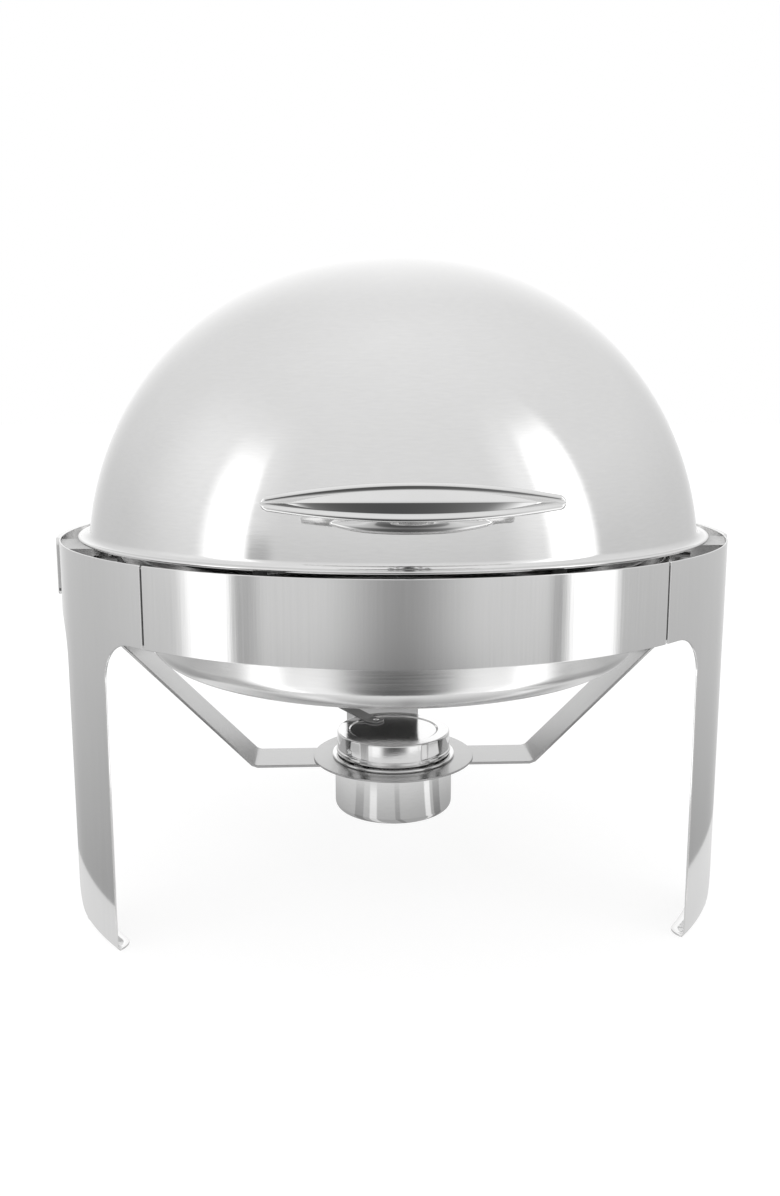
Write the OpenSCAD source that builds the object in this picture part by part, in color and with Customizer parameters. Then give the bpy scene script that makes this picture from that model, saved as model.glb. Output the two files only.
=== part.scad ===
// Round roll top chafer: a three-legged stand, a dome that rolls back about
// two side pins, a water pan, a food pan and a fuel cup on a cross bracket.
// Millimetres. Z is up, the feet stand on z = 0, the front faces -Y.

/* [Frame] */
// Outer radius of the front band and the leg panels
frame_r = 240; // [236:1:246]
// Height of the top edge of the band above the table
band_top = 252; // [248:1:256]
// Height of the band itself
band_h = 49; // [40:1:56]
// Sheet thickness of the band and the legs
sheet = 1.2; // [1:0.1:1.3]
// Angle from the front to each front seam
seam_angle = 39.5; // [36:0.5:42]
// Width of the open seam
seam_gap = 1.2; // [0.6:0.2:2]
// Angle from the front to the centre line of each front leg
leg_angle = 58.2; // [56:0.2:60]
// Width of each leg below its head
leg_w = 73; // [60:1:80]
// Radius of the fillets between a leg and its head
leg_fillet = 28; // [15:1:30]
// Depth of the folded foot lip
foot_depth = 11.5; // [8:0.5:14]

/* [Lid] */
// Height of the pivot axis above the table
pivot_z = 232; // [230:0.5:234]
// Height of the dome's crown above the pivot axis
dome_h = 218; // [216:0.5:219]
// Greatest radius of the dome
dome_r = 220.8; // [219:0.2:222]
// Outer radius of the lid flange
flange_r = 227.4; // [226:0.2:228]
// Height of the flange's top face above the pivot axis
flange_z = 21.5; // [21:0.5:23]
// Sheet thickness of the dome
dome_t = 1; // [0.8:0.1:1.2]
// Length of the handle grip
grip_len = 160; // [140:2:170]
// Width of the handle grip
grip_w = 21; // [16:1:24]

/* [Pans] */
// Outer radius of the water pan below its rim
water_r = 181; // [176:1:184]
// Height of the water pan's floor above the table
water_z = 154; // [154:1:158]
// Depth of the food pan
food_depth = 62; // [50:1:64]
// Outer radius of the food pan below its rim
food_r = 176; // [170:1:177]

/* [Fuel holder] */
// Outer radius of the fuel cup
cup_r = 45.3; // [40:0.1:48]
// Height of the fuel cup's floor above the table
cup_z = 34; // [32:0.2:44]
// Outer radius of the ring plate
ring_r = 62; // [58:1:66]
// Height of the ring plate's top face
ring_z = 75; // [74:0.5:78]
// Width of the bracket arms
arm_w = 40; // [24:1:40]

/* [Hidden] */
$fn = 96;
eps = 0.02;

frame_in = frame_r - sheet;
band_z = band_top - band_h;
rear_leg_half = 28;
head_end = 103;
rear_band_start = 77.5;
rear_band_end = 160;
rear_band_h = 40;
rear_band_t = 2.4;
foot_round = 22;

// Hinge: measured from the pivot axis along X on the right-hand side
lug_x = 208.5;
lug_t = 2.5;
bracket_x = 214;
bracket_t = 1.5;
bracket_front = 42;
bracket_back = 16;
bracket_low = pivot_z - 14;
bracket_high = pivot_z + 11;
pin_r = 4;
pin_clear = 0.06;
pin_head_r = 7.5;
pin_head_t = 3.6;

// Pans
cradle_top = 238;
cradle_t = 2;
cradle_out = 202;
cradle_in = 195;
water_t = 1;
water_rim = 200;
food_t = 0.9;
food_rim = 190;
food_floor = cradle_top + water_t - food_depth;

// Lid
dome_off = dome_r - dome_h;
flange_t = 1.2;
grip_lift = 29;
handle_tilt = 27;
grip_turn = 17;
grip_t = 6;
grip_bow_r = 700;
foot_len = 90;
foot_w = 15;
stem_len = 50;
stem_w = 12;
handle_y = -213.5;
handle_z = 279;

// Fuel holder
ring_t = 1.5;
ring_hole = 46;
arm_t = 2;
arm_bend_x = 107;
arm_wall_x = 236.4;
cup_t = 0.9;
cap_low = 78;
cap_top = 95;
cap_r = 44.4;
strip_at = [-9, 16];
strip_turn = 138;

// A sheet-metal arc between two angles measured from the front towards +X.
module arc_band(from, to, r_out, t, z, h) {
    rotate([0, 0, from - 90])
        rotate_extrude(angle = to - from, $fn = 180)
            translate([r_out - t, z]) square([t, h]);
}

// A thing placed at an angle from the front, its +X pointing outward.
module at_angle(a) {
    rotate([0, 0, a - 90]) children();
}

// A panel cut from the frame's shell by an outline drawn as width and height.
module panel(a) {
    intersection() {
        difference() {
            cylinder(h = band_top, r = frame_r, $fn = 180);
            translate([0, 0, -1]) cylinder(h = band_top + 2, r = frame_in, $fn = 180);
        }
        at_angle(a) translate([100, 0, 0]) rotate([90, 0, 90])
            linear_extrude(height = 200) children();
    }
}

// A quarter-round web that fills the corner at the origin, towards +X and -Y.
module fillet(r) {
    difference() {
        translate([-eps, -r]) square([r + eps, r + eps]);
        translate([r, -r]) circle(r = r);
    }
}

// Outline of a leg: the strip, its head and the two fillets.
module leg_outline(head_left, head_right, left_round, right_round) {
    half = leg_w / 2;
    difference() {
        translate([-half, 0]) square([leg_w, band_top]);
        if (left_round) foot_corner(-1);
        if (right_round) foot_corner(1);
    }
    translate([-head_left, band_z]) square([head_left + head_right, band_h]);
    translate([half, band_z]) fillet(leg_fillet);
    translate([-half, band_z]) mirror([1, 0]) fillet(leg_fillet);
}

// The waste cut from a bottom corner of a leg, on the side that s gives.
module foot_corner(s) {
    translate([s * (leg_w / 2 - foot_round), foot_round]) difference() {
        translate([s > 0 ? 0 : -foot_round - 1, -foot_round - 1])
            square(foot_round + 1);
        circle(r = foot_round);
    }
}

// The foot lip: a tongue folded inward from the leg's bottom edge.
module foot_lip(a, low, high) {
    at_angle(a) intersection() {
        difference() {
            cylinder(h = sheet, r = frame_in, $fn = 180);
            translate([0, 0, -1]) cylinder(h = sheet + 2, r = frame_in - foot_depth, $fn = 180);
        }
        union() {
            translate([150, low + foot_depth, -1]) cube([100, high - low - 2 * foot_depth, 4]);
            for (y = [low + foot_depth, high - foot_depth])
                translate([frame_in, y, -1]) cylinder(h = 4, r = foot_depth);
        }
    }
}

// A side leg. The right-hand leg has s = 1, the left-hand one s = -1.
module side_leg(s) {
    front = frame_r * sin(leg_angle - seam_angle) - seam_gap / 2;
    back = frame_r * sin(head_end - leg_angle);
    panel(s * leg_angle)
        if (s > 0) leg_outline(front, back, false, true);
        else leg_outline(back, front, true, false);
    if (s > 0) foot_lip(leg_angle, -leg_w / 2, leg_w / 2 - foot_round);
    else foot_lip(-leg_angle, foot_round - leg_w / 2, leg_w / 2);
}

module front_band() color("silver") {
    gap = seam_gap / 2 / frame_r * 180 / PI;
    arc_band(gap - seam_angle, seam_angle - gap, frame_r, sheet, band_z, band_h);
}

module left_leg() color("silver") side_leg(-1);

module right_leg() color("silver") side_leg(1);

module rear_leg() color("silver") {
    head = frame_r * sin(rear_leg_half);
    panel(180) leg_outline(head, head, false, false);
    foot_lip(180, -leg_w / 2, leg_w / 2);
}

// The rear bands are hemmed strips that lap over the leg panels' outer faces.
module rear_band(s) {
    a = s > 0 ? rear_band_start : -rear_band_end;
    arc_band(a, a + rear_band_end - rear_band_start, frame_r + rear_band_t,
        rear_band_t, band_top - rear_band_h, rear_band_h);
}

module rear_band_left() color("silver") rear_band(-1);

module rear_band_right() color("silver") rear_band(1);

module splice_plates() color("gainsboro")
    for (s = [-1, 1])
        arc_band(s * seam_angle - 6, s * seam_angle + 6, frame_in, sheet,
            band_z + 2, band_h - 4);

// A button head on a shank that runs outward through both sheets.
module radial_rivet(a, z) {
    at_angle(a) translate([0, 0, z]) rotate([0, 90, 0]) {
        translate([0, 0, frame_in - 1.4]) cylinder(h = 1.4, r = 3.2);
        translate([0, 0, frame_r + rear_band_t - 0.1]) cylinder(h = 1.1, r = 3.6);
        translate([0, 0, frame_r + rear_band_t + 1]) cylinder(h = 0.7, r1 = 3.6, r2 = 2);
    }
}

module band_rivets() color("gainsboro")
    for (s = [-1, 1], a = [98, 155], z = [band_top - 10, band_top - 30])
        radial_rivet(s * a, z);

// A folded cover fixed to the frame's side wall, open below. It holds the pin.
module hinge_bracket(s) {
    depth = bracket_front + bracket_back;
    difference() {
        intersection() {
            translate([s > 0 ? bracket_x : -frame_r, -bracket_front, bracket_low])
                cube([frame_r - bracket_x, depth, bracket_high - bracket_low]);
            cylinder(h = band_top, r = frame_in, $fn = 180);
        }
        translate([s > 0 ? bracket_x + bracket_t : -frame_r - 9,
                bracket_t - bracket_front, bracket_low - 1])
            cube([frame_r + 9 - bracket_x - bracket_t, depth - 2 * bracket_t,
                bracket_high - bracket_low + 1 - bracket_t]);
        translate([s * (bracket_x - 2), 0, pivot_z]) rotate([0, s * 90, 0])
            cylinder(h = 8, r = pin_r);
    }
}

module hinge_bracket_left() color("silver") hinge_bracket(-1);

module hinge_bracket_right() color("silver") hinge_bracket(1);

// A part of the hinge on the side that s gives, turned so that +Z is outward.
module on_axis(s, x) {
    translate([s * x, 0, pivot_z]) rotate([0, s * 90, 0]) children();
}

module hinge_pin(s) {
    on_axis(s, lug_x - pin_head_t - 0.1) {
        cylinder(h = 1, r1 = pin_head_r - 1, r2 = pin_head_r);
        translate([0, 0, 1 - eps]) cylinder(h = pin_head_t - 1, r = pin_head_r);
    }
    on_axis(s, lug_x - 0.5) cylinder(h = 13, r = pin_r);
}

module hinge_pin_left() color("gainsboro") hinge_pin(-1);

module hinge_pin_right() color("gainsboro") hinge_pin(1);

module hinge_washers() color("white")
    for (s = [-1, 1])
        on_axis(s, lug_x + lug_t + 0.1) difference() {
            cylinder(h = bracket_x - lug_x - lug_t - 0.1, r = 9);
            translate([0, 0, -1]) cylinder(h = 9, r = pin_r);
        }

module hinge_nuts() color("gainsboro")
    for (s = [-1, 1])
        on_axis(s, bracket_x + bracket_t) difference() {
            cylinder(h = 5, r = 7.5, $fn = 6);
            translate([0, 0, -1]) cylinder(h = 7, r = pin_r);
        }

// A flat strut along a radius, from the cradle ring out to a given radius.
module strut(a, w, r_to, z) {
    intersection() {
        at_angle(a) translate([cradle_in + 2, -w / 2, z]) cube([60, w, cradle_t]);
        cylinder(h = band_top, r = r_to, $fn = 180);
    }
}

module pan_cradle() color("silver") {
    difference() {
        translate([0, 0, cradle_top - cradle_t]) cylinder(h = cradle_t, r = cradle_out, $fn = 180);
        cylinder(h = band_top, r = cradle_in, $fn = 180);
    }
    for (s = [-1, 1]) {
        strut(s * 22, 22, frame_in, cradle_top - 2 * cradle_t);
        translate([s > 0 ? cradle_in : -bracket_x, -bracket_front, cradle_top - 2 * cradle_t])
            cube([bracket_x - cradle_in, 14, cradle_t]);
    }
}

module lid_rests() color("dimgray")
    for (s = [-1, 1])
        at_angle(s * 22)
            translate([222, 0, cradle_top - cradle_t])
                cylinder(h = pivot_z + flange_z - flange_t - 0.2 - cradle_top + cradle_t, r = 4);

module fuel_ring() color("silver")
    translate([0, 0, ring_z - ring_t]) difference() {
        cylinder(h = ring_t, r = ring_r);
        translate([0, 0, -1]) cylinder(h = ring_t + 2, r = ring_hole);
    }

// Side view of an arm: flat from the ring, up a slope, then a tab on the wall.
module arm_profile() {
    low = ring_z - ring_t - arm_t;
    rise = arm_wall_x - arm_bend_x;
    polygon([
        [ring_hole + 5, low], [arm_bend_x, low], [arm_wall_x + arm_t, low + rise],
        [arm_wall_x + arm_t, bracket_low - 0.5], [arm_wall_x, bracket_low - 0.5],
        [arm_wall_x, low + rise + 1], [arm_bend_x - 0.8, low + arm_t], [ring_hole + 5, low + arm_t]
    ]);
}

module fuel_arm(s) {
    intersection() {
        mirror([s > 0 ? 0 : 1, 0, 0])
            translate([0, arm_w / 2, 0]) rotate([90, 0, 0])
                linear_extrude(height = arm_w) arm_profile();
        cylinder(h = band_top, r = frame_in, $fn = 180);
    }
}

module fuel_arm_left() color("silver") fuel_arm(-1);

module fuel_arm_right() color("silver") fuel_arm(1);

// Screws through each arm's tab, with their heads on the tab's inner face.
module arm_screws() color("gainsboro")
    for (s = [-1, 1], y = [-11, 11])
        translate([s * (arm_wall_x - 1.8), y, bracket_low - 5.5]) rotate([0, s * 90, 0])
            cylinder(h = 1.8, r = 3);

// Solid of revolution inside the dome, reduced by t all over.
module dome_solid(t) {
    rotate_extrude($fn = 180) intersection() {
        union() {
            translate([dome_off, pivot_z]) circle(r = dome_h - t, $fn = 180);
            translate([0, pivot_z]) square([dome_off, dome_h - t]);
        }
        translate([0, pivot_z]) square([dome_r + 1, dome_h + 1]);
    }
}

module dome() color("lightgray") {
    low = pivot_z + flange_z - flange_t;
    rotate_extrude($fn = 180) {
        intersection() {
            difference() {
                union() {
                    translate([dome_off, pivot_z]) circle(r = dome_h, $fn = 180);
                    translate([0, pivot_z]) square([dome_off, dome_h]);
                }
                union() {
                    translate([dome_off, pivot_z]) circle(r = dome_h - dome_t, $fn = 180);
                    translate([0, pivot_z]) square([dome_off, dome_h - dome_t]);
                }
            }
            translate([0, low]) square([dome_r + 1, dome_h]);
        }
        translate([dome_r - 2, low]) square([flange_r - dome_r + 2, flange_t]);
    }
}

// The lug hangs from a pad that fills out to the dome's inner face.
module hinge_lug(s) {
    pad_low = pivot_z + flange_z + 2;
    difference() {
        union() {
            on_axis(s, lug_x) cylinder(h = lug_t, r = 12);
            translate([s > 0 ? lug_x : -lug_x - lug_t, -12, pivot_z])
                cube([lug_t, 24, pad_low - pivot_z + 1]);
            intersection() {
                translate([s > 0 ? lug_x : -lug_x - 20, -26, pad_low]) cube([20, 52, 24]);
                dome_solid(dome_t);
            }
        }
        on_axis(s, lug_x - 3) cylinder(h = 9, r = pin_r + pin_clear);
    }
}

module hinge_lug_left() color("silver") hinge_lug(-1);

module hinge_lug_right() color("silver") hinge_lug(1);

// The handle's own frame: +Z points outward from the dome, +X along the grip.
module handle_place() {
    translate([0, handle_y, handle_z]) rotate([90 - handle_tilt, 0, 0]) children();
}

// A leaf of overall length len and width w, with its tips blunted by small circles.
module leaf(len, w, tip) {
    half = len / 2 + tip;
    bow = (half * half + w * w / 4) / w;
    intersection() {
        translate([0, w / 2 - bow]) circle(r = bow, $fn = 180);
        translate([0, bow - w / 2]) circle(r = bow, $fn = 180);
        square([len, w + 1], center = true);
    }
    for (s = [-1, 1]) translate([s * (len / 2 - tip), 0]) circle(r = tip, $fn = 32);
}

module handle_foot() color("silver") difference() {
    handle_place() {
        translate([0, 0, -8]) linear_extrude(height = 12) leaf(foot_len, foot_w, 2);
        hull() {
            translate([0, 0, 3]) linear_extrude(height = 1) leaf(stem_len, stem_w, 2);
            translate([0, 0, grip_lift - 2]) linear_extrude(height = 1)
                leaf(stem_len * 0.62, stem_w * 0.75, 2);
        }
    }
    dome_solid(0);
    grip_solid();
    handle_place() for (x = [-12, 12])
        translate([x, 0, -20]) cylinder(h = 36, r = 2);
}

// The grip: a leaf cut from a plate that bows back towards its tips.
module grip_solid() handle_place() translate([0, 0, grip_lift]) rotate([grip_turn, 0, 0])
    intersection() {
        translate([0, 0, -12]) linear_extrude(height = 18) leaf(grip_len, grip_w, 4);
        translate([0, grip_w, grip_t / 2 - grip_bow_r]) rotate([90, 0, 0])
            linear_extrude(height = 2 * grip_w) difference() {
                circle(r = grip_bow_r, $fn = 720);
                circle(r = grip_bow_r - grip_t, $fn = 720);
            }
    }

module handle_grip() color("silver") grip_solid();

// Two screws from inside the dome into the handle foot.
module handle_screws() color("gainsboro") handle_place()
    for (x = [-12, 12]) translate([x, 0, 0]) {
        translate([0, 0, -6]) cylinder(h = 20, r = 2);
        translate([0, 0, -8.5]) cylinder(h = 2.5, r = 4);
    }

// Profile of a pan: a rim, a side wall and a floor joined by an oval bend.
module pan_profile(r, rim, top, floor_z, t, bend_r, bend_h) {
    steps = 10;
    outer = [for (i = [0 : steps])
        [r - bend_r + bend_r * cos(90 * i / steps), floor_z + bend_h - bend_h * sin(90 * i / steps)]];
    inner = [for (i = [steps : -1 : 0])
        [r - bend_r + (bend_r - t) * cos(90 * i / steps),
            floor_z + bend_h - (bend_h - t) * sin(90 * i / steps)]];
    polygon(concat([[rim, top - t], [r, top - t]], outer,
        [[0, floor_z], [0, floor_z + t]], inner, [[r - t, top], [rim, top]]));
}

module water_pan() color("lightgray")
    rotate_extrude($fn = 180)
        pan_profile(water_r, water_rim, cradle_top + water_t, water_z, water_t, 51, 22);

module food_pan() color("lightgray")
    rotate_extrude($fn = 180)
        pan_profile(food_r, food_rim, cradle_top + water_t + food_t, food_floor, food_t, 22, 22);

module fuel_cup() color("silver")
    rotate_extrude() polygon([
        [0, cup_z], [cup_r - 5, cup_z], [cup_r - 1.5, cup_z + 1.5], [cup_r, cup_z + 5],
        [cup_r, ring_z], [cup_r + 2.2, ring_z], [cup_r + 2.2, ring_z + 2],
        [cap_r - 2.4, ring_z + 2], [cap_r - 2.4, cap_low + 8],
        [cap_r - 2.4 - cup_t, cap_low + 8], [cap_r - 2.4 - cup_t, ring_z - 1],
        [cup_r - cup_t, ring_z - 4], [cup_r - cup_t, cup_z + 5.5],
        [cup_r - 2.2, cup_z + 2.2], [cup_r - 5.5, cup_z + cup_t], [0, cup_z + cup_t]
    ]);

module snuffer_cap() color("silver")
    rotate_extrude() polygon([
        [0, cap_top - 0.6], [cap_r * 0.75, cap_top - 0.6], [cap_r * 0.78, cap_top],
        [cap_r - 1.4, cap_top], [cap_r - 0.6, cap_top - 0.6], [cap_r - 0.3, cap_top - 1.6],
        [cap_r, cap_low + 3], [cap_r, cap_low], [cap_r - 1, cap_low],
        [cap_r - 1, cap_low + 3], [cap_r - 1.3, cap_top - 1.8], [cap_r - 2, cap_top - 1],
        [cap_r * 0.78, cap_top - 1], [cap_r * 0.75, cap_top - 1.6], [0, cap_top - 1.6]
    ]);

// A strip riveted to the cap's crown that rises towards the rear left.
module cap_handle() color("dimgray")
    translate([strip_at[0], strip_at[1], cap_top - 0.6]) rotate([0, 0, strip_turn])
        translate([0, 6, 0]) rotate([90, 0, 0]) linear_extrude(height = 12)
            polygon([[0, 0], [10, 0], [15, 1.4], [50, 8], [50, 9.6], [14.5, 3], [9.5, 1.6], [0, 1.6]]);

module cap_rivets() color("gainsboro") {
    translate([strip_at[0], strip_at[1], cap_top + 1]) rotate([0, 0, strip_turn])
        translate([5, 0, 0]) cylinder(h = 0.8, r1 = 2.4, r2 = 1.8);
    rotate([0, 0, -142]) translate([cap_r - 1.4, 0, cap_low + 7]) rotate([0, 90, 0])
        cylinder(h = 2.6, r1 = 2.6, r2 = 1.6);
}

front_band();
left_leg();
right_leg();
rear_leg();
rear_band_left();
rear_band_right();
splice_plates();
band_rivets();
hinge_bracket_left();
hinge_bracket_right();
hinge_pin_left();
hinge_pin_right();
hinge_washers();
hinge_nuts();
pan_cradle();
lid_rests();
fuel_ring();
fuel_arm_left();
fuel_arm_right();
arm_screws();
dome();
hinge_lug_left();
hinge_lug_right();
handle_foot();
handle_grip();
handle_screws();
water_pan();
food_pan();
fuel_cup();
snuffer_cap();
cap_handle();
cap_rivets();
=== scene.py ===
"""Looks of the round roll top chafer: refined sheet-metal pieces and finishes
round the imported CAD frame. Helper lengths are in millimetres, meshes in metres."""
import math

import bpy
from mathutils import Matrix, Vector, geometry


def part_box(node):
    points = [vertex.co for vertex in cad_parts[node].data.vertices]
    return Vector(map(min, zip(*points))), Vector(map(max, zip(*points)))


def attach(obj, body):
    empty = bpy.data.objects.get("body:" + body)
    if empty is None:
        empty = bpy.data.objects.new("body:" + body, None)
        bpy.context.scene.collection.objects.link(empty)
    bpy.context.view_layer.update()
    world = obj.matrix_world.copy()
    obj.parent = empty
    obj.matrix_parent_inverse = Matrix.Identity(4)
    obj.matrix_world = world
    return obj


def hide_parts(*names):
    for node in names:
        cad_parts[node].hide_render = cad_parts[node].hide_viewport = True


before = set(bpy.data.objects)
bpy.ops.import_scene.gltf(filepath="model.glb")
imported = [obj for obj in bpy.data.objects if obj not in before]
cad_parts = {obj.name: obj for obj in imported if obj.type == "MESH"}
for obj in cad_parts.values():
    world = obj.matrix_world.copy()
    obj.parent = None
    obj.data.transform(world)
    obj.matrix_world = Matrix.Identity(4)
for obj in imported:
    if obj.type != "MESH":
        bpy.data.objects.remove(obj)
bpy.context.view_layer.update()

MM = 0.001


def span(node, axis):
    """Lowest and highest value of a CAD node along an axis, in millimetres."""
    low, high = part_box(node)
    return low[axis] / MM, high[axis] / MM


# ---------------------------------------------------------------- sizes

SHEET = 1.2                                    # band and leg sheet
EDGE = 0.42                                    # rounding of a sheet's cut edge
FRAME_R = -span("front_band", 1)[0]            # outer radius of band and legs
BAND_LOW, BAND_HIGH = span("front_band", 2)
SEAM_ANGLE = 39.5                              # front seams, degrees from the front
SEAM_GAP = 1.6
LEG_ANGLE = 58.2
LEG_W = 73
LEG_FILLET = 28
HEAD_END = 103
REAR_HEAD = 28
FOOT_BEND = 2.6                                # outer bend radius of the folded foot
FOOT_DEPTH = 11.5
FOOT_ROUND = 22

REAR_BAND_R = span("rear_band_right", 0)[1]
REAR_BAND_T = REAR_BAND_R - FRAME_R
REAR_BAND_LOW, REAR_BAND_HIGH = span("rear_band_right", 2)
REAR_BAND_START, REAR_BAND_END = 77.5, 160
RIVET_ANGLES, RIVET_DROPS = (98, 155), (10, 30)  # degrees from the front, below the band's top
SPLICE_HALF = 6                                # half the angle that a splice plate spans

PIVOT_Z = 232
DOME_TOP = span("dome", 2)[1]
FLANGE_LOW = span("dome", 2)[0]
FLANGE_R = span("dome", 0)[1]
DOME_R = 220.8
DOME_ARC = DOME_TOP - PIVOT_Z                  # radius of the dome's profile arc
DOME_OFF = DOME_R - DOME_ARC                    # the arc's centre, off the axis
DOME_T = 1

HANDLE_AT = Vector((0, -213.5, 279))
HANDLE_TILT = math.radians(63)
GRIP_LIFT = 29
GRIP_TURN = math.radians(17)
GRIP_LEN, GRIP_W, GRIP_TIP = 160, 21, 4.2
GRIP_RIM, GRIP_RIDGE, GRIP_BOW_R = 2.0, 2.9, 700

WATER_TOP, FOOD_TOP = span("water_pan", 2)[1], span("food_pan", 2)[1]
WATER_FLOOR, FOOD_FLOOR = span("water_pan", 2)[0], span("food_pan", 2)[0]
WATER_RIM, FOOD_RIM = span("water_pan", 0)[1], span("food_pan", 0)[1]
WATER_R, FOOD_R = 181, 176

RING_TOP = span("fuel_ring", 2)[1]
RING_R = span("fuel_ring", 0)[1]
RING_T, RING_HOLE = 1.5, 46
ARM_W, ARM_T = 40, 2
ARM_BEND_X, ARM_WALL_X = 107, 237.9
ARM_TOP = PIVOT_Z - 14.5
CUP_FLOOR = span("fuel_cup", 2)[0]
CUP_R, CUP_FLANGE = 45.3, span("fuel_cup", 0)[1]
CAP_LOW, CAP_TOP = span("snuffer_cap", 2)
CAP_R = span("snuffer_cap", 0)[1]
STRIP_AT, STRIP_TURN = (-9, 16), 138             # start and heading of the cap's handle strip


# ---------------------------------------------------------------- mesh helpers

class Shape:
    """Points in millimetres with their normals, and the faces between them."""

    def __init__(self):
        self.points, self.normals, self.faces = [], [], []

    def add(self, points, normals, faces, place=None):
        start = len(self.points)
        if place is not None:
            turn = place.to_3x3()
            points = [place @ Vector(p) for p in points]
            normals = [turn @ Vector(n) for n in normals]
        self.points += [Vector(p) for p in points]
        self.normals += [Vector(n) for n in normals]
        self.faces += [[start + i for i in face] for face in faces]
        return self


def outline(corners, closed=True, steps=7, spacing=None):
    """[(x, y, nx, ny)] along a path with rounded corners (x, y, radius).
    The normals point to the right of the path."""
    count = len(corners)
    path = []
    for i, corner in enumerate(corners):
        at, radius = Vector(corner[:2]), (corner[2] if len(corner) > 2 else 0)
        before, after = corners[i - 1], corners[(i + 1) % count]
        d0 = (at - Vector(before[:2])).normalized()
        d1 = (Vector(after[:2]) - at).normalized()
        if not closed and i == 0:
            d0 = d1
        if not closed and i == count - 1:
            d1 = d0
        turn = math.atan2(d0.x * d1.y - d0.y * d1.x, d0.dot(d1))
        n0 = Vector((d0.y, -d0.x))
        if radius == 0 or abs(turn) < 1e-4:
            n = (n0 + Vector((d1.y, -d1.x))).normalized()
            path.append((at.x, at.y, n.x, n.y))
            continue
        side = math.copysign(1, turn)
        start = at - d0 * radius * math.tan(abs(turn) / 2)
        centre = start - n0 * radius * side
        bends = max(2, round(steps * abs(turn) / (math.pi / 2)))
        for k in range(bends + 1):
            n = n0.copy()
            n.rotate(Matrix.Rotation(turn * k / bends, 2))
            p = centre + n * radius * side
            path.append((p.x, p.y, n.x, n.y))
    if spacing is None:
        return path
    fine = []
    for i in range(len(path) if closed else len(path) - 1):
        a, b = path[i], path[(i + 1) % len(path)]
        cuts = max(1, math.ceil(math.dist(a[:2], b[:2]) / spacing))
        fine += [tuple(a[k] + (b[k] - a[k]) * c / cuts for k in range(4)) for c in range(cuts)]
    return fine if closed else fine + [path[-1]]


def arc(cx, cy, radius, start, end, steps):
    """Path points along an arc, angles in degrees."""
    points = []
    for k in range(steps + 1):
        a = math.radians(start + (end - start) * k / steps)
        points.append((cx + radius * math.cos(a), cy + radius * math.sin(a)))
    return points


def revolve(path, segments=160, shape=None, place=None):
    """Turns a path of (radius, z, nr, nz) about the Z axis. It is closed unless it meets the axis."""
    points, normals, rows = [], [], []
    on_axis = path[0][0] < 1e-6 and path[-1][0] < 1e-6
    for r, z, nr, nz in path:
        if r < 1e-6:
            rows.append([len(points)] * segments)
            points.append((0, 0, z))
            normals.append((0, 0, math.copysign(1, nz)))
            continue
        rows.append([len(points) + j for j in range(segments)])
        for j in range(segments):
            a = 2 * math.pi * j / segments
            points.append((r * math.cos(a), r * math.sin(a), z))
            normals.append((nr * math.cos(a), nr * math.sin(a), nz))
    faces = []
    for i in range(len(rows) if not on_axis else len(rows) - 1):
        low, high = rows[i], rows[(i + 1) % len(rows)]
        for j in range(segments):
            k = (j + 1) % segments
            face = [low[j], low[k], high[k], high[j]]
            faces.append([v for n, v in enumerate(face) if v != face[n - 1]])
    return (shape or Shape()).add(points, normals, faces, place)


def inside(x, y, loop):
    """True if (x, y) lies within a closed loop of points."""
    within = False
    for (ax, ay), (bx, by) in zip(loop, loop[1:] + loop[:1]):
        if (ay > y) != (by > y) and x < ax + (y - ay) * (bx - ax) / (by - ay):
            within = not within
    return within


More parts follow.
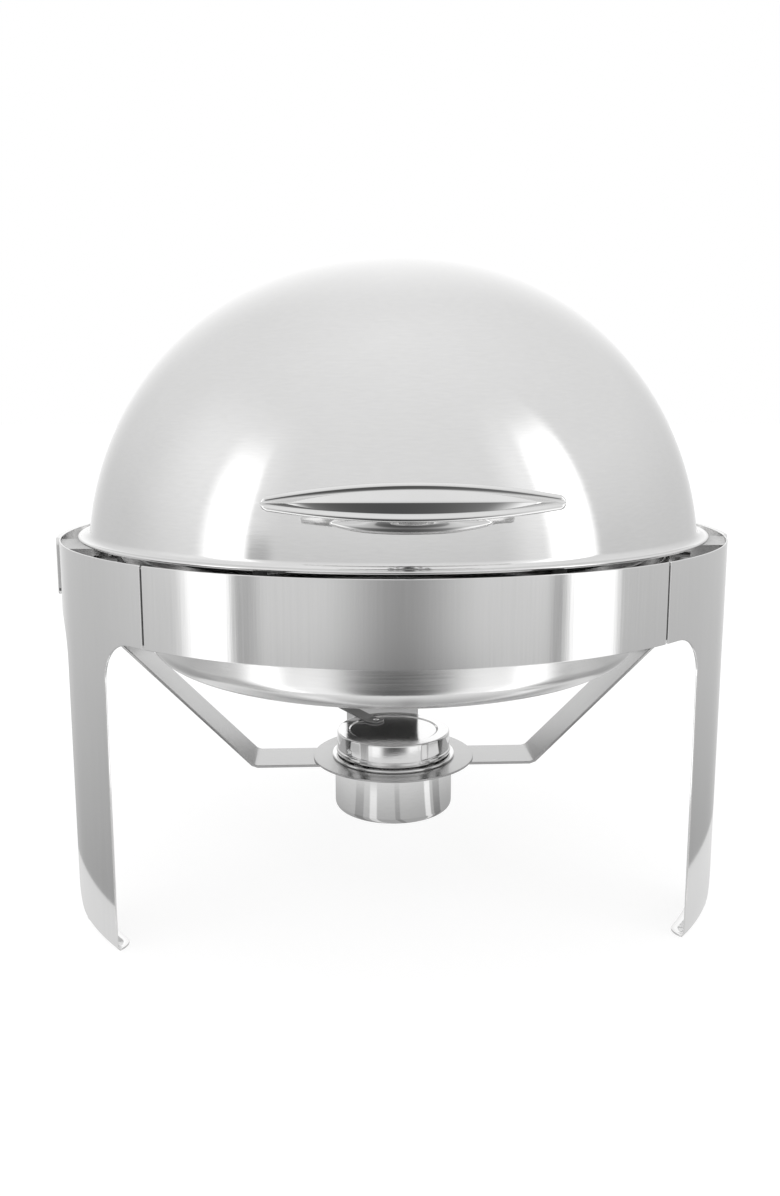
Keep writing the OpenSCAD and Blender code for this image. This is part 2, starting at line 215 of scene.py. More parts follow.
def sheet(corners, wrap, thickness, edge=EDGE, spacing=(5, 14), steps=7, shape=None):
    """A sheet cut to an outline and bent by wrap(u, v, height), with rounded cut edges."""
    rim = outline(corners, True, steps, spacing[0])
    loop = [(x - nx * edge, y - ny * edge) for x, y, nx, ny in rim]
    grid = []
    xs, ys = [p[0] for p in loop], [p[1] for p in loop]
    clear = spacing[0] * 0.55
    for i in range(1, int((max(xs) - min(xs)) / spacing[0]) + 1):
        for j in range(1, int((max(ys) - min(ys)) / spacing[1]) + 1):
            x, y = min(xs) + i * spacing[0], min(ys) + j * spacing[1]
            if inside(x, y, loop) and min(math.dist((x, y), p) for p in loop) > clear:
                grid.append((x, y))
    count = len(loop)
    flat, _, tiles, source, _, _ = geometry.delaunay_2d_cdt(
        [Vector(p) for p in loop + grid], [(i, (i + 1) % count) for i in range(count)],
        [list(range(count))], 1, 1e-5, True)
    tiles = [t for t in tiles if inside(*(sum(flat[i][k] for i in t) / 3 for k in (0, 1)), loop)]
    seat = {s: i for i, found in enumerate(source) for s in found}

    def skin(u, v, height, mu=0.0, mv=0.0, up=1.0):
        step = 0.05
        at = Vector(wrap(u, v, height))
        tu = (Vector(wrap(u + step, v, height)) - Vector(wrap(u - step, v, height))).normalized()
        tv = (Vector(wrap(u, v + step, height)) - Vector(wrap(u, v - step, height))).normalized()
        return at, (tu * mu + tv * mv + tu.cross(tv) * up).normalized()

    points, normals, faces = [], [], []
    for height, up in ((0, 1), (-thickness, -1)):
        for p in flat:
            at, normal = skin(p.x, p.y, height, up=up)
            points.append(at)
            normals.append(normal)
    half = len(flat)
    faces += [list(t) for t in tiles] + [[half + i for i in reversed(t)] for t in tiles]
    bends = 3
    rows = [[seat[i] for i in range(count)]]
    for turn in [k / bends for k in range(1, bends + 1)] + [1 - k / bends for k in range(bends)]:
        a = turn * math.pi / 2
        upper = len(rows) <= bends
        inset, drop = edge * (1 - math.sin(a)), edge * (1 - math.cos(a))
        height = -drop if upper else drop - thickness
        row = []
        for x, y, nx, ny in rim:
            at, normal = skin(x - nx * inset, y - ny * inset, height,
                nx * math.sin(a), ny * math.sin(a), math.cos(a) * (1 if upper else -1))
            row.append(len(points))
            points.append(at)
            normals.append(normal)
        rows.append(row)
    rows.append([half + seat[i] for i in range(count)])
    for low, high in zip(rows, rows[1:]):
        for i in range(count):
            j = (i + 1) % count
            faces.append([low[i], high[i], high[j], low[j]])
    return (shape or Shape()).add(points, normals, faces)


def loft(rows, ends):
    """A closed skin through equal loops of points, with one point at each end."""
    shape = Shape()
    size = len(rows[0])
    points = [p for row in rows for p in row] + list(ends)
    faces = []
    for i in range(len(rows) - 1):
        for j in range(size):
            k = (j + 1) % size
            faces.append([i * size + j, i * size + k, (i + 1) * size + k, (i + 1) * size + j])
    last = (len(rows) - 1) * size
    for j in range(size):
        k = (j + 1) % size
        faces.append([len(points) - 2, k, j])
        faces.append([len(points) - 1, last + j, last + k])
    shape.points = [Vector(p) for p in points]
    shape.faces = faces
    return shape


def piece(name, shape, material, body, nodes):
    """Makes the mesh object, lets it ride on its body and stand for its CAD nodes."""
    mesh = bpy.data.meshes.new(name)
    mesh.from_pydata([p * MM for p in shape.points], [], shape.faces, shade_flat=False)
    if shape.normals:
        mesh.normals_split_custom_set_from_vertices(shape.normals)
    mesh.materials.append(material)
    made = bpy.data.objects.new(name, mesh)
    bpy.context.scene.collection.objects.link(made)
    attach(made, body)
    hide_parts(*nodes)
    return made


def wall(angle, radius):
    """Wraps a sheet round a cylinder: u runs round it from an angle, v is the height."""
    def wrap(u, v, height):
        a = math.radians(angle) + u / radius
        r = radius + height
        return (r * math.sin(a), -r * math.cos(a), v)
    return wrap


def strip(path, place=lambda across, along, z: (along, across, z)):
    """Wraps a sheet along a bent path of (along, z, radius), u running across it."""
    line = outline(path, closed=False, steps=8)
    marks = [0.0]
    for a, b in zip(line, line[1:]):
        marks.append(marks[-1] + math.dist(a[:2], b[:2]))

    def wrap(u, v, height):
        i = max(k for k in range(len(marks) - 1) if marks[k] <= v or k == 0)
        share = (v - marks[i]) / (marks[i + 1] - marks[i])
        x, z, nx, nz = (a + (b - a) * share for a, b in zip(line[i], line[i + 1]))
        if not 0 <= share <= 1:
            nx, nz = (line[i] if share < 0 else line[i + 1])[2:]
        return place(u, x + nx * height, z + nz * height)
    return wrap, marks[-1]


def head(width, height, crown):
    """Half profile of a fastener's rounded head, closed through the axis."""
    return outline([(0, 0), (width, 0, 0.2), (width, height - crown, 0.5),
        (width * 0.62, height - crown * 0.25, width * 0.5), (0, height)], closed=False)


# ---------------------------------------------------------------- materials

class Graph:
    """Short names for adding and joining shader nodes."""

    def __init__(self, tree):
        tree.nodes.clear()
        self.tree = tree

    def add(self, kind, inputs=None, **settings):
        node = self.tree.nodes.new("ShaderNode" + kind)
        for key, value in settings.items():
            setattr(node, key, value)
        for name, value in (inputs or {}).items():
            if isinstance(value, bpy.types.NodeSocket):
                self.tree.links.new(value, node.inputs[name])
            else:
                node.inputs[name].default_value = value
        return node

    def math(self, operation, a, b=0.0):
        return self.add("Math", {0: a, 1: b}, operation=operation).outputs[0]

    def ramp(self, value, low, high, to_low, to_high, smooth=False):
        return self.add("MapRange", {"Value": value, "From Min": low, "From Max": high,
            "To Min": to_low, "To Max": to_high},
            interpolation_type="SMOOTHSTEP" if smooth else "LINEAR").outputs[0]

    def noise(self, vector, scale, stretch=(1, 1, 1), detail=4.0):
        mapped = self.add("Mapping", {"Vector": vector, "Scale": stretch})
        return self.add("TexNoise", {"Vector": mapped.outputs[0], "Scale": scale,
            "Detail": detail, "Roughness": 0.6}).outputs["Fac"]


def grey(value, warmth=0.0):
    return (value * (1 + warmth), value, value * (1 - warmth), 1)


def steel(name, tone, rough, spread, grain, bump, anisotropy=0.0, polar=True):
    """Stainless steel: fine grain lines, cloudy wiping marks and a faint waviness."""
    material = bpy.data.materials.new(name)
    material.use_nodes = True
    g = Graph(material.node_tree)
    place = g.add("TexCoord").outputs["Object"]
    if polar:
        split = g.add("SeparateXYZ", {0: place}).outputs
        turn = g.math("ARCTAN2", split[0], g.math("MULTIPLY", split[1], -1.0))
        reach = g.math("SQRT", g.math("ADD", g.math("MULTIPLY", split[0], split[0]),
            g.math("MULTIPLY", split[1], split[1])))
        lines = g.add("CombineXYZ", {0: g.math("MULTIPLY", turn, 0.24), 1: split[2],
            2: reach}).outputs[0]
    else:
        lines = place
    streak = g.noise(lines, 1.0, grain, 3.0)
    cloud = g.noise(place, 16.0)
    wave = g.noise(place, 5.0, detail=1.0)
    mixed = g.math("ADD", g.math("MULTIPLY", streak, 0.6), g.math("MULTIPLY", cloud, 0.4))
    colour = g.add("ValToRGB", {"Fac": mixed})
    ends = colour.color_ramp.elements
    ends[0].position, ends[0].color = 0.3, grey(tone * 0.965, 0.002)
    ends[1].position, ends[1].color = 0.7, grey(min(1, tone * 1.02), 0.002)
    rougher = g.ramp(mixed, 0.3, 0.7, rough - spread, rough + spread)
    relief = g.math("ADD", g.math("MULTIPLY", streak, 0.25), g.math("MULTIPLY", wave, 1.0))
    bumped = g.add("Bump", {"Height": relief, "Strength": 1.0, "Distance": bump})
    shader = g.add("BsdfPrincipled", {"Base Color": colour.outputs[0], "Metallic": 1.0,
        "Roughness": rougher, "Normal": bumped.outputs[0], "Anisotropic": anisotropy})
    g.add("OutputMaterial", {"Surface": shader.outputs[0]})
    return material


def moulded(name, dark, light, rough, bump):
    """Moulded nylon or rubber: a fine mottled skin."""
    material = bpy.data.materials.new(name)
    material.use_nodes = True
    g = Graph(material.node_tree)
    place = g.add("TexCoord").outputs["Object"]
    fine = g.noise(place, 900.0)
    cloud = g.noise(place, 60.0)
    colour = g.add("ValToRGB", {"Fac": cloud})
    ends = colour.color_ramp.elements
    ends[0].position, ends[0].color = 0.3, grey(dark)
    ends[1].position, ends[1].color = 0.7, grey(light)
    bumped = g.add("Bump", {"Height": fine, "Strength": 1.0, "Distance": bump})
    shader = g.add("BsdfPrincipled", {"Base Color": colour.outputs[0],
        "Roughness": g.ramp(fine, 0.3, 0.7, rough - 0.05, rough + 0.05),
        "Normal": bumped.outputs[0]})
    g.add("OutputMaterial", {"Surface": shader.outputs[0]})
    return material


frame_steel = steel("frame_steel", 0.80, 0.10, 0.03, (900, 14, 14), 0.00004)
dome_steel = steel("dome_steel", 0.82, 0.085, 0.025, (120, 900, 900), 0.00006)
handle_chrome = steel("handle_chrome", 0.84, 0.045, 0.015, (60, 60, 60), 0.00001, polar=False)
bracket_steel = steel("bracket_steel", 0.51, 0.24, 0.04, (40, 700, 700), 0.00003, polar=False)
dark_steel = steel("dark_steel", 0.26, 0.34, 0.05, (60, 60, 60), 0.00002, polar=False)
pan_steel = steel("pan_steel", 0.84, 0.22, 0.05, (14, 900, 900), 0.00003, anisotropy=0.35)
cup_steel = steel("cup_steel", 0.82, 0.075, 0.02, (30, 900, 900), 0.00002)
fastener_steel = steel("fastener_steel", 0.76, 0.20, 0.04, (300, 300, 300), 0.00001, polar=False)
nylon = moulded("nylon", 0.62, 0.72, 0.45, 0.00003)
rubber = moulded("rubber", 0.020, 0.035, 0.6, 0.00005)


# ---------------------------------------------------------------- frame pieces

def leg_wrap(angle):
    """Wraps a leg's sheet: v is the height, and below the bend it folds inward."""
    bend_length = FOOT_BEND * math.pi / 2

    def wrap(u, v, height):
        past = FOOT_BEND - v
        if past <= 0:
            r, z = FRAME_R + height, v
        elif past < bend_length:
            b = past / FOOT_BEND
            r = FRAME_R - FOOT_BEND + (FOOT_BEND + height) * math.cos(b)
            z = FOOT_BEND - (FOOT_BEND + height) * math.sin(b)
        else:
            r, z = FRAME_R - FOOT_BEND - (past - bend_length), -height
        a = math.radians(angle) + u / FRAME_R
        return (r * math.sin(a), -r * math.cos(a), z)
    return wrap


def leg(angle, head_low, head_high, round_low, round_high):
    """A leg panel: strip, head between two angles, fillets and folded foot."""
    half = FRAME_R * math.asin(LEG_W / 2 / FRAME_R)
    tongue = FOOT_BEND * (1 - math.pi / 2) - (FOOT_DEPTH + SHEET - FOOT_BEND)
    low = [(-half, tongue, 10.5)]
    if round_low:
        low = [(-half, FOOT_BEND + 0.2, FOOT_ROUND - 3), (FOOT_ROUND - half, FOOT_BEND + 0.2, 1),
            (FOOT_ROUND - half, tongue, 10.5)]
    high = [(half, tongue, 10.5)]
    if round_high:
        high = [(half - FOOT_ROUND, tongue, 10.5), (half - FOOT_ROUND, FOOT_BEND + 0.2, 1),
            (half, FOOT_BEND + 0.2, FOOT_ROUND - 3)]
    corners = low + high + [(half, BAND_LOW, LEG_FILLET), (head_high, BAND_LOW, 0.9),
        (head_high, BAND_HIGH, 0.9), (head_low, BAND_HIGH, 0.9), (head_low, BAND_LOW, 0.9),
        (-half, BAND_LOW, LEG_FILLET)]
    return sheet(corners, leg_wrap(angle), SHEET, steps=10)


def rectangle(low, high, bottom, top, radius):
    return [(low, bottom, radius), (high, bottom, radius), (high, top, radius), (low, top, radius)]


def build_frame():
    to_arc = math.radians(1) * FRAME_R
    band = SEAM_ANGLE * to_arc - SEAM_GAP / 2
    piece("front_band_panel", sheet(rectangle(-band, band, BAND_LOW, BAND_HIGH, 0.8),
        wall(0, FRAME_R), SHEET), frame_steel, "stand", ["front_band"])
    front = (LEG_ANGLE - SEAM_ANGLE) * to_arc - SEAM_GAP / 2
    back = (HEAD_END - LEG_ANGLE) * to_arc
    piece("right_leg_panel", leg(LEG_ANGLE, -front, back, False, True),
        frame_steel, "stand", ["right_leg"])
    piece("left_leg_panel", leg(-LEG_ANGLE, -back, front, True, False),
        frame_steel, "stand", ["left_leg"])
    rear = REAR_HEAD * to_arc
    piece("rear_leg_panel", leg(180, -rear, rear, False, False),
        frame_steel, "stand", ["rear_leg"])

    middle = (REAR_BAND_START + REAR_BAND_END) / 2
    reach = math.radians(REAR_BAND_END - middle) * REAR_BAND_R
    for side, name in ((-1, "left"), (1, "right")):
        piece(f"rear_band_{name}_hemmed",
            sheet(rectangle(-reach, reach, REAR_BAND_LOW, REAR_BAND_HIGH, 5),
                wall(side * middle, REAR_BAND_R), REAR_BAND_T - 0.02, edge=0.6),
            frame_steel, "stand", [f"rear_band_{name}"])

    low, high = span("splice_plates", 2)
    plate = math.radians(SPLICE_HALF) * (FRAME_R - SHEET)
    plates = Shape()
    for side in (-1, 1):
        sheet(rectangle(-plate, plate, low, high, 2), wall(side * SEAM_ANGLE, FRAME_R - SHEET),
            SHEET, shape=plates)
    piece("seam_plates", plates, dark_steel, "stand", ["splice_plates"])

    rivets = Shape()
    for side in (-1, 1):
        for angle in RIVET_ANGLES:
            for z in (BAND_HIGH - drop for drop in RIVET_DROPS):
                turn = Matrix.Rotation(math.radians(side * angle - 90), 4, "Z")
                out = turn @ Matrix.Translation((REAR_BAND_R - 0.1, 0, z)) @ Matrix.Rotation(
                    math.radians(90), 4, "Y")
                back_out = turn @ Matrix.Translation((FRAME_R - SHEET + 0.1, 0, z)) @ \
                    Matrix.Rotation(math.radians(-90), 4, "Y")
                revolve(head(3.4, 0.6, 0.4), 28, rivets, out)
                revolve(head(3.2, 1.5, 0.8), 28, rivets, back_out)
    piece("band_rivet_heads", rivets, fastener_steel, "stand", ["band_rivets"])


# ---------------------------------------------------------------- fuel holder

def build_fuel_holder():
    low = RING_TOP - RING_T
    ring = outline([(RING_HOLE, low, 0.4), (RING_R, low, 0.6), (RING_R, RING_TOP, 0.6),
        (RING_HOLE, RING_TOP, 0.4)])
    piece("fuel_ring_plate", revolve(ring, 128), bracket_steel, "stand", ["fuel_ring"])
    arm_low = low - ARM_T
    rise = ARM_WALL_X - ARM_BEND_X
    for side, name in ((-1, "left"), (1, "right")):
        wrap, length = strip(
            [(RING_HOLE + 5, arm_low), (ARM_BEND_X, arm_low, 7),
                (ARM_WALL_X, arm_low + rise, 7), (ARM_WALL_X, ARM_TOP)],
            lambda across, along, z, s=side: (s * along, s * across, z))
        piece(f"fuel_arm_{name}_strip",
            sheet(rectangle(-ARM_W / 2, ARM_W / 2, 0, length, 3), wrap, ARM_T, edge=0.55,
                spacing=(5, 3)),
            bracket_steel, "stand", [f"fuel_arm_{name}"])

    neck = CAP_R - 2.4
    cup = outline([(0, CUP_FLOOR + 0.4), (30, CUP_FLOOR + 0.4), (31, CUP_FLOOR, 0.5),
        (CUP_R, CUP_FLOOR, 5), (CUP_R, RING_TOP + 0.1, 0.5), (CUP_FLANGE, RING_TOP + 0.1, 0.9),
        (CUP_FLANGE, RING_TOP + 2.2, 0.9), (neck, RING_TOP + 2, 0.7), (neck, CAP_LOW + 8, 0.4),
        (neck - 0.9, CAP_LOW + 8, 0.4), (neck - 0.9, RING_TOP - 1, 1.2),
        (CUP_R - 0.9, RING_TOP - 4, 1.2), (CUP_R - 0.9, CUP_FLOOR + 0.9, 4.1),
        (0, CUP_FLOOR + 0.9)], closed=False)
    piece("fuel_cup_body", revolve(cup, 128), cup_steel, "fuel_cup", ["fuel_cup"])

    cap = outline([(0, CAP_TOP - 1.6), (CAP_R * 0.75, CAP_TOP - 1.6, 1), (CAP_R * 0.78, CAP_TOP - 1, 1),
        (CAP_R - 1.6, CAP_TOP - 1, 0.8), (CAP_R - 1.6, CAP_LOW, 0.4), (CAP_R - 0.6, CAP_LOW, 0.4),
        (CAP_R, CAP_LOW + 1.6, 1), (CAP_R - 0.1, CAP_LOW + 3.1, 0.6), (CAP_R - 0.8, CAP_LOW + 3.9, 0.5),
        (CAP_R - 0.7, CAP_TOP, 1.2), (CAP_R * 0.78, CAP_TOP, 0.6), (CAP_R * 0.755, CAP_TOP - 0.7, 0.6),
        (0, CAP_TOP - 0.6)], closed=False, steps=6)
    piece("snuffer_cap_body", revolve(cap, 128), cup_steel, "snuffer_cap", ["snuffer_cap"])

    turn = math.radians(STRIP_TURN)

    def heading(across, along, z):
        return (STRIP_AT[0] + along * math.cos(turn) - across * math.sin(turn),
            STRIP_AT[1] + along * math.sin(turn) + across * math.cos(turn), z)

    base = CAP_TOP - 0.6
    wrap, length = strip([(0, base), (11, base, 12), (50, base + 8)], heading)
    piece("cap_handle_strip", sheet(rectangle(-6, 6, 0, length, 4), wrap, 1.6, edge=0.6,
        spacing=(3, 3)), dark_steel, "snuffer_cap", ["cap_handle"])

    rivets = Shape()
    revolve(head(2.4, 0.8, 0.5), 28, rivets, Matrix.Translation(heading(0, 5, base + 1.6)))
    out = Matrix.Rotation(math.radians(-142), 4, "Z") @ Matrix.Translation(
        (CAP_R - 1.4, 0, CAP_LOW + 7)) @ Matrix.Rotation(math.radians(90), 4, "Y")
    revolve(head(2.6, 2.2, 1.3), 28, rivets, out)
    piece("cap_rivet_heads", rivets, fastener_steel, "snuffer_cap", ["cap_rivets"])


# ---------------------------------------------------------------- pans

def pan(outer, rim, top, floor, bend, height, thickness):
    """Profile of a spun pan with an oval floor bend and a rolled rim."""
    below = [(0, floor)]
    for k in range(0, 19):
        a = math.radians(-90 + 5 * k)
        below.append((outer - bend + bend * math.cos(a), floor + height + height * math.sin(a)))
    above = []
    for k in range(18, -1, -1):
        a = math.radians(-90 + 5 * k)
        above.append((outer - bend + (bend - thickness) * math.cos(a),
            floor + height + (height - thickness) * math.sin(a)))
    return outline(below + [(outer, top - thickness, 1.2), (rim - 3, top - thickness, 0.4),
        (rim - 1.4, top - 1.7, 0.5), (rim, top - 1.2, 0.6), (rim - 0.6, top, 0.5),
        (outer - thickness, top, 2)] + above + [(0, floor + thickness)], closed=False)


def build_pans():
    piece("water_pan_spun", revolve(pan(WATER_R, WATER_RIM, WATER_TOP, WATER_FLOOR, 51, 22, 1)),
        pan_steel, "water_pan", ["water_pan"])
    piece("food_pan_spun", revolve(pan(FOOD_R, FOOD_RIM, FOOD_TOP, FOOD_FLOOR, 22, 22, 0.9)),
        pan_steel, "food_pan", ["food_pan"])


# ---------------------------------------------------------------- lid

def build_dome():
    inner = DOME_ARC - DOME_T
    flange_top = FLANGE_LOW + 1.2
    start = math.degrees(math.asin((flange_top + 7.5 - PIVOT_Z) / DOME_ARC))
    rise_in = arc(DOME_OFF, PIVOT_Z, inner, 90, start, 44)
    rise_out = arc(DOME_OFF, PIVOT_Z, DOME_ARC, start, 90, 44)
    lean = math.tan(math.radians(start))
    foot_out = rise_out[0][0] + 7.5 * lean
    foot_in = rise_in[-1][0] + (rise_in[-1][1] - FLANGE_LOW) * lean
    bead = 1.05
    path = outline([(0, PIVOT_Z + inner)] + rise_in + [(foot_in, FLANGE_LOW, 4),
        (FLANGE_R - 3.4, FLANGE_LOW, 0.5), (FLANGE_R - 2.6, FLANGE_LOW - 0.05, 0.5),
        (FLANGE_R, FLANGE_LOW - 0.05, bead), (FLANGE_R, FLANGE_LOW - 0.05 + 2 * bead, bead),
        (FLANGE_R - 2 * bead, FLANGE_LOW - 0.05 + 2 * bead, bead * 0.9),
        (FLANGE_R - 2 * bead - 0.2, flange_top - 0.1, 0.4), (foot_out, flange_top, 5)]
        + rise_out + [(0, DOME_TOP)], closed=False)
    piece("dome_spun", revolve(path, 192), dome_steel, "lid", ["dome"])


def grip_half_width(x):
    """Half width of the grip, which narrows evenly towards its small round tips."""
    past = abs(x) - GRIP_LEN / 2 + GRIP_TIP
    if past > 0:
        return math.sqrt(max(0, GRIP_TIP ** 2 - past ** 2))
    return GRIP_TIP + (GRIP_W / 2 - GRIP_TIP) * (1 - (x / (GRIP_LEN / 2 - GRIP_TIP)) ** 2)


def grip_centre(x):
    """Height of the rim's centre line in the grip's own frame: it bows back to the tips."""
    return math.sqrt(GRIP_BOW_R ** 2 - x * x) - GRIP_BOW_R - 1.3


def grip_section(half_width, share):
    """Half section of the grip from its round rim up to the ridge: (across, up)."""
    rim = min(GRIP_RIM, half_width * 0.5)
    full = min(1, half_width / 5)
    ridge = rim + (GRIP_RIDGE - rim) * full * share
    points = []
    for k in range(7):
        a = math.radians(-90 + 32 * k)
        points.append((half_width - rim + rim * math.cos(a), rim * math.sin(a)))
    inner = max(0.2, half_width - 1.9 * rim)
    points.append((inner, rim * 0.15))
    for k in range(1, 9):
        s = k / 8
        points.append((inner * (1 - s), rim * 0.15 + (ridge - rim * 0.15) * s))
    return points


def build_handle():
    place = Matrix.Translation(HANDLE_AT) @ Matrix.Rotation(HANDLE_TILT, 4, "X")
    hold = place @ Matrix.Translation((0, 0, GRIP_LIFT)) @ Matrix.Rotation(GRIP_TURN, 4, "X")
    half = GRIP_LEN / 2
    stations = 120
    rows = []
    for i in range(1, stations):
        x = -half * math.cos(math.pi * i / stations)
        width = grip_half_width(x)
        upper = grip_section(width, 1 - 0.75 * (x / half) ** 2)
        rim = min(GRIP_RIM, width * 0.5)
        under = []
        for k in range(1, 12):
            a = math.pi * k / 12
            under.append((-(width - rim) * math.cos(a), -rim - 0.6 * rim * math.sin(a)))
        loop = under + upper + [(-y, z) for y, z in reversed(upper[:-1])]
        rows.append([hold @ Vector((x, y, z + grip_centre(x))) for y, z in loop])
    ends = [hold @ Vector((side * half, 0, grip_centre(half))) for side in (-1, 1)]
    grip = loft([list(reversed(row)) for row in rows], ends)
    piece("handle_grip_cast", grip, handle_chrome, "lid", ["handle_grip"])

    def dome_height(x, y):
        """Height of the dome's surface at a point, in the handle's own frame."""
        guess = 0.0
        for _ in range(12):
            p = place @ Vector((x, y, guess))
            reach = math.hypot(math.hypot(p.x, p.y) - DOME_OFF, p.z - PIVOT_Z)
            guess -= reach - DOME_ARC
        return guess

    top = GRIP_LIFT - 3.4
    layers = [(45, 7.5, -0.4), (45, 7.5, 1.0), (44.6, 7.2, 1.9), (43.5, 6.4, 2.6), (41, 5.2, 3.0),
        (36, 4.2, 3.3), (26, 3.6, 3.7), (16, 3.3, 4.6), (10.5, 3.2, 6.6), (8.2, 3.2, 10),
        (8, 3.3, 14), (9.5, 3.8, 19), (13, 4.6, top)]
    rows = []
    around = 96
    for length, width, lift in layers:
        row = []
        for k in range(around):
            a = 2 * math.pi * k / around
            x = length * math.copysign(abs(math.cos(a)) ** 0.9, math.cos(a))
            y = width * math.copysign(abs(math.sin(a)) ** 1.38, math.sin(a))
            seat = dome_height(x, y)
            settle = min(1, max(0, (lift - 4) / 12))
            row.append(place @ Vector((x, y, lift + seat * (1 - settle))))
        rows.append(row)
    ends = [place @ Vector((0, 0, -0.4)), place @ Vector((0, 0, top))]
    foot = loft(rows, ends)
    made = piece("handle_foot_cast", foot, handle_chrome, "lid", ["handle_foot"])
    smooth = made.modifiers.new("smooth", "SUBSURF")
    smooth.levels = smooth.render_levels = 1


# ---------------------------------------------------------------- carried-over CAD nodes

def finish_nodes():
    """Finishes for the CAD nodes that stay, with softened edges on the bent sheet."""
    kept = {
        bracket_steel: ["hinge_bracket_left", "hinge_bracket_right",
            "hinge_lug_left", "hinge_lug_right"],
        dark_steel: ["pan_cradle"],
        fastener_steel: ["hinge_pin_left", "hinge_pin_right", "hinge_nuts", "arm_screws",
            "handle_screws"],
        nylon: ["hinge_washers"],
        rubber: ["lid_rests"],
    }
    for material, names in kept.items():
        for name in names:
            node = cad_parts[name]
            node.data.materials.clear()
            node.data.materials.append(material)
            soften = node.modifiers.new("soften", "BEVEL")
            soften.width = 0.35 * MM
            soften.segments = 2
            soften.limit_method = "ANGLE"
            soften.angle_limit = math.radians(40)


# ---------------------------------------------------------------- stage, light, camera

def glow(name, build):
    """A stage material that only gives light; build adds its nodes."""
    material = bpy.data.materials.new(name)
    material.use_nodes = True
    material.cycles.emission_sampling = "NONE"
    g = Graph(material.node_tree)
    build(g)
    return material


def disc(name, radius, z, segments=96):
    mesh = bpy.data.meshes.new(name)
    ring = [(radius * math.cos(2 * math.pi * k / segments),
        radius * math.sin(2 * math.pi * k / segments), z) for k in range(segments)]
    mesh.from_pydata(ring, [], [list(range(segments))])
    made = bpy.data.objects.new(name, mesh)
    bpy.context.scene.collection.objects.link(made)
    return made


def build_stage():
    """A white floor for the camera, and a pale table top for the reflections, whose glow holds painted
    shade under the object and painted softbox reflections.
    """
    def white_floor(g):
        light = g.add("Emission", {"Color": grey(1), "Strength": 0.78})
        paint = g.add("BsdfDiffuse", {"Color": grey(0.34)})
        both = g.add("AddShader", {0: light.outputs[0], 1: paint.outputs[0]})
        g.add("OutputMaterial", {"Surface": both.outputs[0]})

    def table_top(g):
        place = g.add("SeparateXYZ", {0: g.add("TexCoord").outputs["Object"]}).outputs
        reach = g.math("SQRT", g.math("ADD", g.math("MULTIPLY", place[0], place[0]),
            g.math("MULTIPLY", place[1], place[1])))
        turn = g.math("MULTIPLY", g.math("ARCTAN2", place[0],
            g.math("MULTIPLY", place[1], -1.0)), 180 / math.pi)
        # Painted shade and painted reflections: the glow is darker towards the middle, under the
        # object, and wedges near the object add painted softbox reflections (the positive levels) and
        # painted shade streaks (the negative levels).
        painted_streak_zone = g.ramp(reach, 0.24, 0.19, 0.0, 1.0, smooth=True)
        glow_with_painted_shade = g.ramp(reach, 0.09, 0.27, 0.42, 0.80, smooth=True)
        for middle, half, level in ((-40, 5, 0.34), (57, 5, 0.44), (-65, 7, -0.16), (79, 8, -0.18),
                (0, 3, -0.14)):
            away = g.math("ABSOLUTE", g.math("SUBTRACT", turn, middle))
            painted_streak = g.ramp(away, half + 2, half, 0.0, level, smooth=True)
            glow_with_painted_shade = g.math("ADD", glow_with_painted_shade, g.math("MULTIPLY", painted_streak, painted_streak_zone))
        light = g.add("Emission", {"Color": grey(1), "Strength": glow_with_painted_shade})
        g.add("OutputMaterial", {"Surface": light.outputs[0]})

    floor = disc("floor", 30, -0.0004)
    floor.data.materials.append(glow("floor_white", white_floor))
    # The table's glow holds painted shade and painted softbox reflections.
    table = disc("table_top", 0.285, -0.0002)
    table.location.x = 0.012
    table.data.materials.append(glow("table_painted_shade_glow", table_top))
    for obj, seen in ((floor, True), (table, False)):
        obj.visible_camera = seen
        obj.visible_glossy = not seen
        obj.visible_diffuse = False
        obj.visible_transmission = not seen
        obj.visible_shadow = False


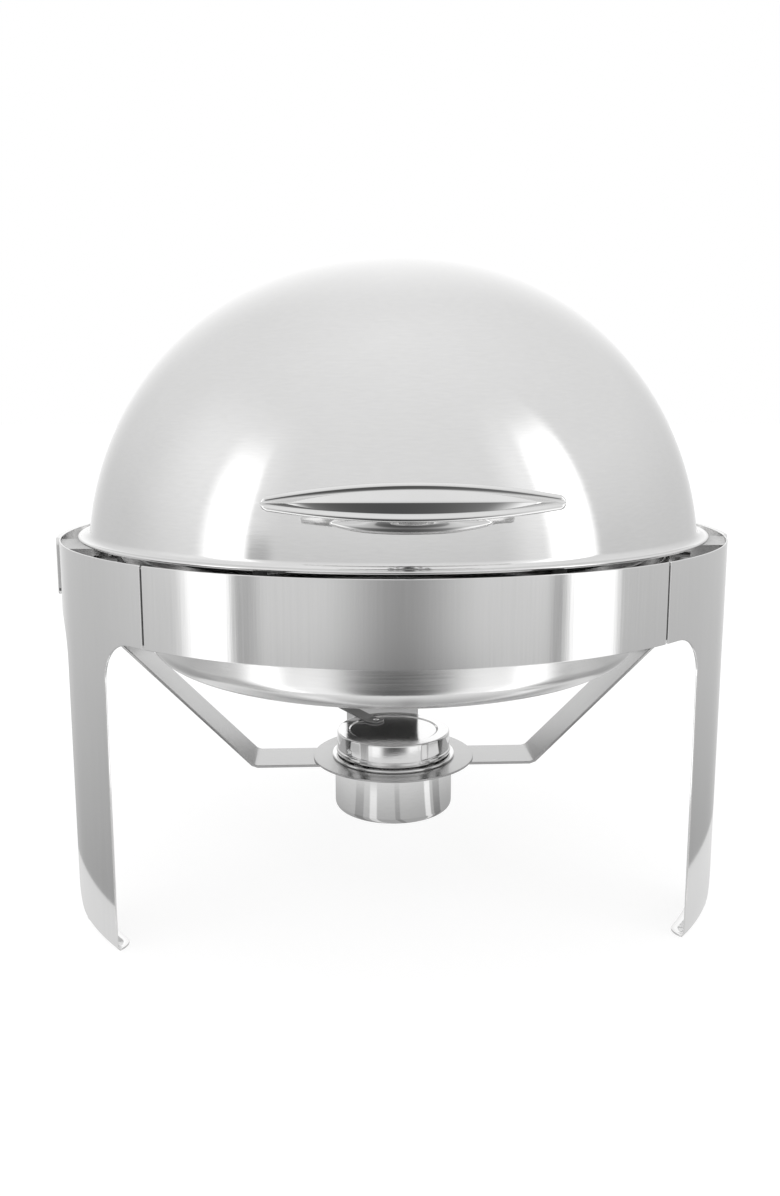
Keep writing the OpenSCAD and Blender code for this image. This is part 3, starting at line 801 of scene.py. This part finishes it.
def build_light():
    """A soft studio: strip boxes left and right of the camera, a bright top and backdrop,
    greyer sides, and the dark room below and behind the camera."""
    world = bpy.data.worlds.new("studio")
    world.use_nodes = True
    bpy.context.scene.world = world
    g = Graph(world.node_tree)
    way = g.add("SeparateXYZ", {0: g.add("TexCoord").outputs["Generated"]}).outputs
    degrees = 180 / math.pi
    turn = g.math("MULTIPLY", g.math("ARCTAN2", way[0], g.math("MULTIPLY", way[1], -1.0)), degrees)
    rise = g.math("MULTIPLY", g.math("ARCSINE", way[2]), degrees)
    off = g.math("ABSOLUTE", turn)

    sky = g.add("ValToRGB", {"Fac": g.ramp(rise, -40, 90, 0.0, 1.0)})
    stops = [(-40, 0.36), (-25, 0.42), (-14, 0.57), (-5, 0.65), (5, 0.69), (15, 0.76), (27, 0.82),
        (50, 0.85), (75, 0.90), (90, 0.93)]
    ends = sky.color_ramp.elements
    for place, level in stops[1:-1]:
        ends.new((place + 40) / 130).color = grey(level)
    ends[0].color, ends[len(stops) - 1].color = grey(stops[0][1]), grey(stops[-1][1])

    def rising(value, start, end, high=1.0):
        return g.ramp(value, start, end, 0.0, high, smooth=True)

    def both(*parts):
        product = parts[0]
        for part in parts[1:]:
            product = g.math("MULTIPLY", product, part)
        return product

    shades = [
        both(rising(off, 27, 0), rising(rise, -2, -8, 0.52)),
        both(rising(off, 40, 6), rising(rise, -13, -18, 0.55)),
        both(rising(turn, -55, -53), rising(turn, -43, -49), rising(rise, 14, 6, 0.36)),
        both(rising(turn, 46, 50), rising(turn, 55, 53), rising(rise, 5, -3, 0.36)),
    ]
    total = g.math("ADD", sky.outputs[0], both(rising(off, 62, 46), rising(rise, -17, -11, 0.13),
        rising(rise, 4, -4)))
    for shade in shades:
        total = both(total, g.math("SUBTRACT", 1.0, shade))
    lights = [
        both(rising(off, 136, 182), rising(rise, 78, 2, 0.50)),
        both(rising(turn, -77, -67), rising(turn, -54, -57), rising(rise, 44, 18, 0.75)),
        both(rising(turn, -118, -76), rising(turn, -40, -62), rising(rise, 55, 30, 0.16),
            rising(rise, -30, 5)),
        both(rising(turn, 51, 57), rising(turn, 75, 71), rising(rise, 50, 28, 0.75)),
        both(rising(off, 18, 34), rising(off, 76, 62), rising(rise, -15, -20, 0.70)),
        both(rising(turn, 34, 50), rising(turn, 72, 69), rising(rise, 58, 30, 0.20),
            rising(rise, -12, 0)),
    ]
    for light in lights:
        total = g.math("ADD", total, light)
    studio = g.add("Background", {"Color": grey(1), "Strength": total})
    backdrop = g.add("Background", {"Color": grey(1), "Strength": 1.0})
    seen = g.add("LightPath").outputs["Is Camera Ray"]
    mixed = g.add("MixShader", {0: seen, 1: studio.outputs[0], 2: backdrop.outputs[0]})
    g.add("OutputWorld", {"Surface": mixed.outputs[0]})


def build_camera():
    """The camera stands about three quarters of a metre in front, a little above the band."""
    data = bpy.data.cameras.new("camera")
    data.sensor_width = 36
    data.lens = 30.41
    data.shift_x, data.shift_y = -0.0028, -0.0185
    data.clip_start, data.clip_end = 0.01, 100
    camera = bpy.data.objects.new("camera", data)
    camera.location = (-0.0353, -0.7578, 0.3373)
    camera.rotation_euler = (math.pi / 2 - 0.1595, 0, -0.0466)
    bpy.context.scene.collection.objects.link(camera)
    bpy.context.scene.camera = camera
    bpy.context.scene.view_settings.view_transform = "Standard"


build_camera()
build_light()
build_stage()
build_frame()
build_fuel_holder()
build_pans()
build_dome()
build_handle()
finish_nodes()
